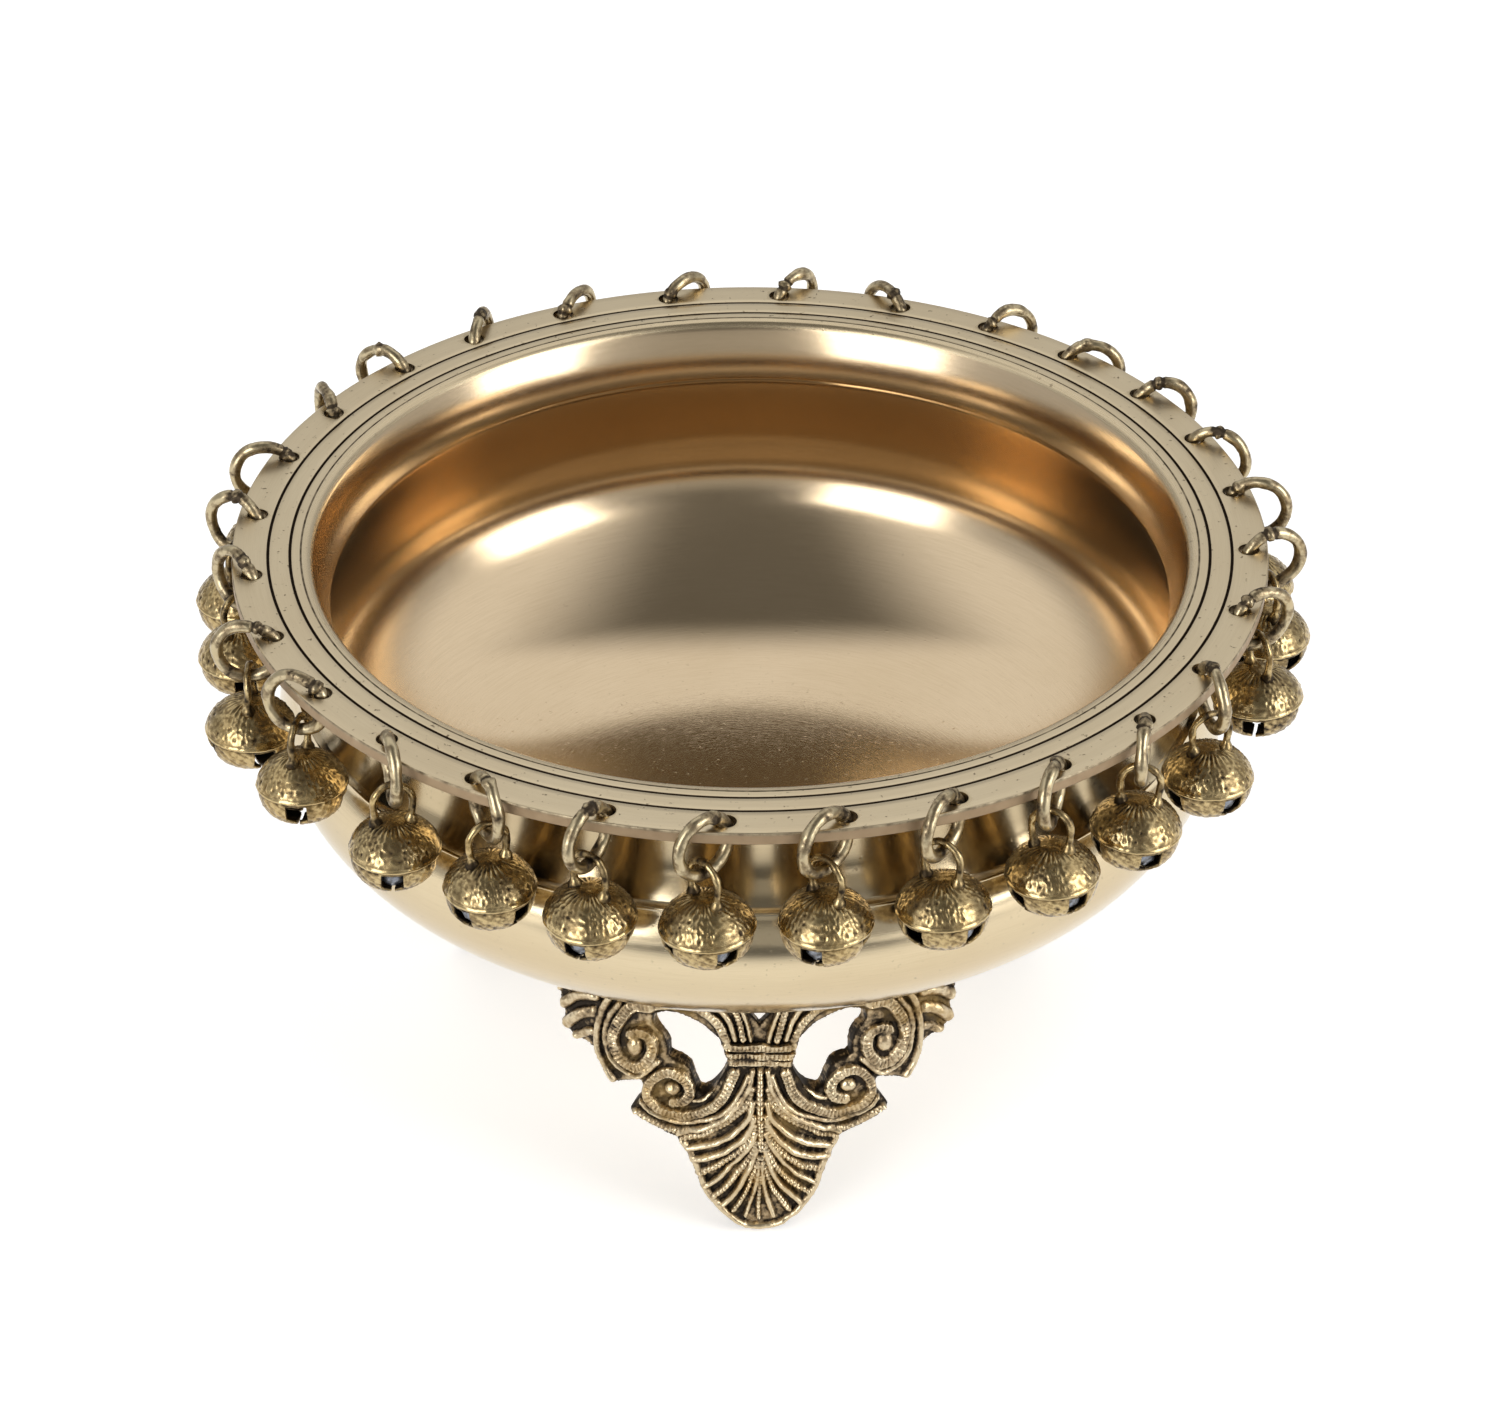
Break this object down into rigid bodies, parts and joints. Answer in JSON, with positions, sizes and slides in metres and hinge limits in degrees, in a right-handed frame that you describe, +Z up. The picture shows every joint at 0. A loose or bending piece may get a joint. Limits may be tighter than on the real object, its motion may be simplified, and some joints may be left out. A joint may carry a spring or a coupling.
{
  "type": "urli bowl",
  "caption": "Wide shallow festive bowl with a flat drilled rim, three openwork cast legs, and slotted jingle bells hung from jump rings round the rim.",
  "frame": {"origin": "on the floor, on the axis of the bowl", "axes": "+Z up along the axis of the bowl, -Y towards the front leg"},
  "size_m": [0.2214, 0.2192, 0.1234],
  "materials": {
    "bowl_brass": "brushed satin outside and on the rim, polished inside",
    "leg_brass": "cast and antiqued, dark in the recesses",
    "ring_brass": "greyish aged wire",
    "bell_brass": "stamped and antiqued"
  },
  "bodies": {
    "root": {"bowl": "bowl_brass", "leg_front": "leg_brass", "leg_back_right": "leg_brass", "leg_back_left": "leg_brass"},
    "ring_01": {"ring_01": "ring_brass"},
    "bell_01": {"bell_01": "bell_brass"},
    "ring_02": {"ring_02": "ring_brass"},
    "bell_02": {"bell_02": "bell_brass"},
    "ring_03": {"ring_03": "ring_brass"},
    "bell_03": {"bell_03": "bell_brass"},
    "ring_04": {"ring_04": "ring_brass"},
    "bell_04": {"bell_04": "bell_brass"},
    "ring_05": {"ring_05": "ring_brass"},
    "bell_05": {"bell_05": "bell_brass"},
    "ring_06": {"ring_06": "ring_brass"},
    "bell_06": {"bell_06": "bell_brass"},
    "ring_07": {"ring_07": "ring_brass"},
    "bell_07": {"bell_07": "bell_brass"},
    "ring_08": {"ring_08": "ring_brass"},
    "bell_08": {"bell_08": "bell_brass"},
    "ring_09": {"ring_09": "ring_brass"},
    "bell_09": {"bell_09": "bell_brass"},
    "ring_10": {"ring_10": "ring_brass"},
    "bell_10": {"bell_10": "bell_brass"},
    "ring_11": {"ring_11": "ring_brass"},
    "bell_11": {"bell_11": "bell_brass"},
    "ring_12": {"ring_12": "ring_brass"},
    "bell_12": {"bell_12": "bell_brass"},
    "ring_13": {"ring_13": "ring_brass"},
    "bell_13": {"bell_13": "bell_brass"},
    "ring_14": {"ring_14": "ring_brass"},
    "bell_14": {"bell_14": "bell_brass"},
    "ring_15": {"ring_15": "ring_brass"},
    "bell_15": {"bell_15": "bell_brass"},
    "ring_16": {"ring_16": "ring_brass"},
    "bell_16": {"bell_16": "bell_brass"},
    "ring_17": {"ring_17": "ring_brass"},
    "bell_17": {"bell_17": "bell_brass"},
    "ring_18": {"ring_18": "ring_brass"},
    "bell_18": {"bell_18": "bell_brass"},
    "ring_19": {"ring_19": "ring_brass"},
    "bell_19": {"bell_19": "bell_brass"},
    "ring_20": {"ring_20": "ring_brass"},
    "bell_20": {"bell_20": "bell_brass"},
    "ring_21": {"ring_21": "ring_brass"},
    "bell_21": {"bell_21": "bell_brass"},
    "ring_22": {"ring_22": "ring_brass"},
    "bell_22": {"bell_22": "bell_brass"},
    "ring_23": {"ring_23": "ring_brass"},
    "bell_23": {"bell_23": "bell_brass"},
    "ring_24": {"ring_24": "ring_brass"},
    "bell_24": {"bell_24": "bell_brass"},
    "ring_25": {"ring_25": "ring_brass"},
    "bell_25": {"bell_25": "bell_brass"},
    "ring_26": {"ring_26": "ring_brass"},
    "bell_26": {"bell_26": "bell_brass"},
    "ring_27": {"ring_27": "ring_brass"},
    "bell_27": {"bell_27": "bell_brass"},
    "ring_28": {"ring_28": "ring_brass"},
    "bell_28": {"bell_28": "bell_brass"}
  },
  "joints": [
    {"name": "ring_01_swivel", "type": "hinge", "parent": "root", "child": "ring_01", "pos_m": [-0.00733, -0.09752, 0.1195], "axis": [0, 0, 1], "range_deg": [-12, 53]},
    {"name": "bell_01_swing", "type": "hinge", "parent": "ring_01", "child": "bell_01", "pos_m": [-0.01137, -0.10064, 0.11045], "axis": [-0.7912, -0.6115, 0], "range_deg": [-12, 35]},
    {"name": "ring_02_swivel", "type": "hinge", "parent": "root", "child": "ring_02", "pos_m": [-0.02908, -0.09338, 0.1195], "axis": [0, 0, 1], "range_deg": [-36, 32]},
    {"name": "bell_02_swing", "type": "hinge", "parent": "ring_02", "child": "bell_02", "pos_m": [-0.03217, -0.09743, 0.11045], "axis": [-0.606, -0.7955, 0], "range_deg": [-14, 15]},
    {"name": "ring_03_swivel", "type": "hinge", "parent": "root", "child": "ring_03", "pos_m": [-0.05269, -0.08239, 0.1195], "axis": [0, 0, 1], "range_deg": [-52, 5]},
    {"name": "bell_03_swing", "type": "hinge", "parent": "ring_03", "child": "bell_03", "pos_m": [-0.05075, -0.08711, 0.11045], "axis": [0.3811, -0.9245, 0], "range_deg": [-35, 12]},
    {"name": "ring_04_swivel", "type": "hinge", "parent": "root", "child": "ring_04", "pos_m": [-0.06928, -0.06903, 0.1195], "axis": [0, 0, 1], "range_deg": [-60, 5]},
    {"name": "bell_04_swing", "type": "hinge", "parent": "ring_04", "child": "bell_04", "pos_m": [-0.0684, -0.07406, 0.11045], "axis": [0.1719, -0.9851, 0], "range_deg": [-35, 12]},
    {"name": "ring_05_swivel", "type": "hinge", "parent": "root", "child": "ring_05", "pos_m": [-0.08202, -0.05327, 0.1195], "axis": [0, 0, 1], "range_deg": [-5, 60]},
    {"name": "bell_05_swing", "type": "hinge", "parent": "ring_05", "child": "bell_05", "pos_m": [-0.08675, -0.05136, 0.11045], "axis": [-0.9272, 0.3746, 0], "range_deg": [-12, 35]},
    {"name": "ring_06_swivel", "type": "hinge", "parent": "root", "child": "ring_06", "pos_m": [-0.09196, -0.03329, 0.1195], "axis": [0, 0, 1], "range_deg": [-26, 31]},
    {"name": "bell_06_swing", "type": "hinge", "parent": "ring_06", "child": "bell_06", "pos_m": [-0.09706, -0.0331, 0.11045], "axis": [-0.9993, 0.0366, 0], "range_deg": [-20, 15]},
    {"name": "ring_07_swivel", "type": "hinge", "parent": "root", "child": "ring_07", "pos_m": [-0.09717, -0.01107, 0.1195], "axis": [0, 0, 1], "range_deg": [-5, 60]},
    {"name": "bell_07_swing", "type": "hinge", "parent": "ring_07", "child": "bell_07", "pos_m": [-0.10055, -0.00725, 0.11045], "axis": [-0.6626, 0.749, 0], "range_deg": [-12, 35]},
    {"name": "ring_08_swivel", "type": "hinge", "parent": "root", "child": "ring_08", "pos_m": [-0.09713, 0.01141, 0.1195], "axis": [0, 0, 1], "range_deg": [-22, 29]},
    {"name": "bell_08_swing", "type": "hinge", "parent": "ring_08", "child": "bell_08", "pos_m": [-0.10177, 0.01354, 0.11045], "axis": [-0.9085, 0.4179, 0], "range_deg": [-9, 14]},
    {"name": "ring_09_swivel", "type": "hinge", "parent": "root", "child": "ring_09", "pos_m": [-0.0919, 0.03345, 0.1195], "axis": [0, 0, 1], "range_deg": [-60, 24]},
    {"name": "bell_09_swing", "type": "hinge", "parent": "ring_09", "child": "bell_09", "pos_m": [-0.09699, 0.03309, 0.11045], "axis": [-0.9976, -0.0698, 0], "range_deg": [-17, 9]},
    {"name": "ring_10_swivel", "type": "hinge", "parent": "root", "child": "ring_10", "pos_m": [-0.08357, 0.05081, 0.1195], "axis": [0, 0, 1], "range_deg": [-20, 60]},
    {"name": "bell_10_swing", "type": "hinge", "parent": "ring_10", "child": "bell_10", "pos_m": [-0.0852, 0.05564, 0.11045], "axis": [-0.3206, 0.9472, 0], "range_deg": [-7, 25]},
    {"name": "ring_11_swivel", "type": "hinge", "parent": "root", "child": "ring_11", "pos_m": [-0.06952, 0.06879, 0.1195], "axis": [0, 0, 1], "range_deg": [-45, 14]},
    {"name": "bell_11_swing", "type": "hinge", "parent": "ring_11", "child": "bell_11", "pos_m": [-0.07381, 0.07155, 0.11045], "axis": [-0.8415, 0.5402, 0], "range_deg": [-20, 6]},
    {"name": "ring_12_swivel", "type": "hinge", "parent": "root", "child": "ring_12", "pos_m": [-0.05539, 0.0806, 0.1195], "axis": [0, 0, 1], "range_deg": [-10, 38]},
    {"name": "bell_12_swing", "type": "hinge", "parent": "ring_12", "child": "bell_12", "pos_m": [-0.05403, 0.08551, 0.11045], "axis": [0.2672, 0.9636, 0], "range_deg": [-12, 30]},
    {"name": "ring_13_swivel", "type": "hinge", "parent": "root", "child": "ring_13", "pos_m": [-0.03679, 0.09061, 0.1195], "axis": [0, 0, 1], "range_deg": [-5, 53]},
    {"name": "bell_13_swing", "type": "hinge", "parent": "ring_13", "child": "bell_13", "pos_m": [-0.03402, 0.0949, 0.11045], "axis": [0.5432, 0.8396, 0], "range_deg": [-12, 35]},
    {"name": "ring_14_swivel", "type": "hinge", "parent": "root", "child": "ring_14", "pos_m": [-0.01446, 0.09673, 0.1195], "axis": [0, 0, 1], "range_deg": [-5, 60]},
    {"name": "bell_14_swing", "type": "hinge", "parent": "ring_14", "child": "bell_14", "pos_m": [-0.01076, 0.10024, 0.11045], "axis": [0.7254, 0.6884, 0], "range_deg": [-12, 35]},
    {"name": "ring_15_swivel", "type": "hinge", "parent": "root", "child": "ring_15", "pos_m": [0.00903, 0.09738, 0.1195], "axis": [0, 0, 1], "range_deg": [-22, 60]},
    {"name": "bell_15_swing", "type": "hinge", "parent": "ring_15", "child": "bell_15", "pos_m": [0.01253, 0.10109, 0.11045], "axis": [0.6858, 0.7278, 0], "range_deg": [-8, 35]},
    {"name": "ring_16_swivel", "type": "hinge", "parent": "root", "child": "ring_16", "pos_m": [0.03457, 0.09149, 0.1195], "axis": [0, 0, 1], "range_deg": [-60, 5]},
    {"name": "bell_16_swing", "type": "hinge", "parent": "ring_16", "child": "bell_16", "pos_m": [0.0317, 0.0957, 0.11045], "axis": [-0.5635, 0.8261, 0], "range_deg": [-35, 12]},
    {"name": "ring_17_swivel", "type": "hinge", "parent": "root", "child": "ring_17", "pos_m": [0.0524, 0.08258, 0.1195], "axis": [0, 0, 1], "range_deg": [-22, 60]},
    {"name": "bell_17_swing", "type": "hinge", "parent": "ring_17", "child": "bell_17", "pos_m": [0.05692, 0.08494, 0.11045], "axis": [0.8862, 0.4633, 0], "range_deg": [-17, 27]},
    {"name": "ring_18_swivel", "type": "hinge", "parent": "root", "child": "ring_18", "pos_m": [0.06818, 0.07011, 0.1195], "axis": [0, 0, 1], "range_deg": [-10, 52]},
    {"name": "bell_18_swing", "type": "hinge", "parent": "ring_18", "child": "bell_18", "pos_m": [0.07327, 0.06974, 0.11045], "axis": [0.9973, -0.0732, 0], "range_deg": [-12, 35]},
    {"name": "ring_19_swivel", "type": "hinge", "parent": "root", "child": "ring_19", "pos_m": [0.08174, 0.05369, 0.1195], "axis": [0, 0, 1], "range_deg": [-18, 38]},
    {"name": "bell_19_swing", "type": "hinge", "parent": "ring_19", "child": "bell_19", "pos_m": [0.08682, 0.05328, 0.11045], "axis": [0.9966, -0.0819, 0], "range_deg": [-14, 23]},
    {"name": "ring_20_swivel", "type": "hinge", "parent": "root", "child": "ring_20", "pos_m": [0.09118, 0.03537, 0.1195], "axis": [0, 0, 1], "range_deg": [-16, 43]},
    {"name": "bell_20_swing", "type": "hinge", "parent": "ring_20", "child": "bell_20", "pos_m": [0.09595, 0.03356, 0.11045], "axis": [0.9348, -0.3551, 0], "range_deg": [-13, 28]},
    {"name": "ring_21_swivel", "type": "hinge", "parent": "root", "child": "ring_21", "pos_m": [0.09673, 0.01446, 0.1195], "axis": [0, 0, 1], "range_deg": [-15, 30]},
    {"name": "bell_21_swing", "type": "hinge", "parent": "ring_21", "child": "bell_21", "pos_m": [0.10172, 0.01344, 0.11045], "axis": [0.9799, -0.1994, 0], "range_deg": [-6, 14]},
    {"name": "ring_22_swivel", "type": "hinge", "parent": "root", "child": "ring_22", "pos_m": [0.09751, -0.0075, 0.1195], "axis": [0, 0, 1], "range_deg": [-40, 15]},
    {"name": "bell_22_swing", "type": "hinge", "parent": "ring_22", "child": "bell_22", "pos_m": [0.10242, -0.00613, 0.11045], "axis": [0.9632, 0.2689, 0], "range_deg": [-20, 6]},
    {"name": "ring_23_swivel", "type": "hinge", "parent": "root", "child": "ring_23", "pos_m": [0.09322, -0.02957, 0.1195], "axis": [0, 0, 1], "range_deg": [-60, 16]},
    {"name": "bell_23_swing", "type": "hinge", "parent": "ring_23", "child": "bell_23", "pos_m": [0.09787, -0.02746, 0.11045], "axis": [0.9107, 0.4131, 0], "range_deg": [-35, 13]},
    {"name": "ring_24_swivel", "type": "hinge", "parent": "root", "child": "ring_24", "pos_m": [0.08409, -0.04993, 0.1195], "axis": [0, 0, 1], "range_deg": [-16, 60]},
    {"name": "bell_24_swing", "type": "hinge", "parent": "ring_24", "child": "bell_24", "pos_m": [0.08561, -0.0548, 0.11045], "axis": [0.2974, -0.9548, 0], "range_deg": [-13, 35]},
    {"name": "ring_25_swivel", "type": "hinge", "parent": "root", "child": "ring_25", "pos_m": [0.07153, -0.0667, 0.1195], "axis": [0, 0, 1], "range_deg": [-5, 57]},
    {"name": "bell_25_swing", "type": "hinge", "parent": "ring_25", "child": "bell_25", "pos_m": [0.07082, -0.07175, 0.11045], "axis": [-0.1392, -0.9903, 0], "range_deg": [-12, 35]},
    {"name": "ring_26_swivel", "type": "hinge", "parent": "root", "child": "ring_26", "pos_m": [0.05469, -0.08108, 0.1195], "axis": [0, 0, 1], "range_deg": [-5, 60]},
    {"name": "bell_26_swing", "type": "hinge", "parent": "ring_26", "child": "bell_26", "pos_m": [0.05286, -0.08584, 0.11045], "axis": [-0.3584, -0.9336, 0], "range_deg": [-12, 35]},
    {"name": "ring_27_swivel", "type": "hinge", "parent": "root", "child": "ring_27", "pos_m": [0.03505, -0.0913, 0.1195], "axis": [0, 0, 1], "range_deg": [-5, 60]},
    {"name": "bell_27_swing", "type": "hinge", "parent": "ring_27", "child": "bell_27", "pos_m": [0.0322, -0.09553, 0.11045], "axis": [-0.5592, -0.829, 0], "range_deg": [-12, 35]},
    {"name": "ring_28_swivel", "type": "hinge", "parent": "root", "child": "ring_28", "pos_m": [0.01462, -0.0967, 0.1195], "axis": [0, 0, 1], "range_deg": [-5, 50]},
    {"name": "bell_28_swing", "type": "hinge", "parent": "ring_28", "child": "bell_28", "pos_m": [0.01093, -0.10022, 0.11045], "axis": [-0.7242, -0.6896, 0], "range_deg": [-12, 35]}
  ]
}
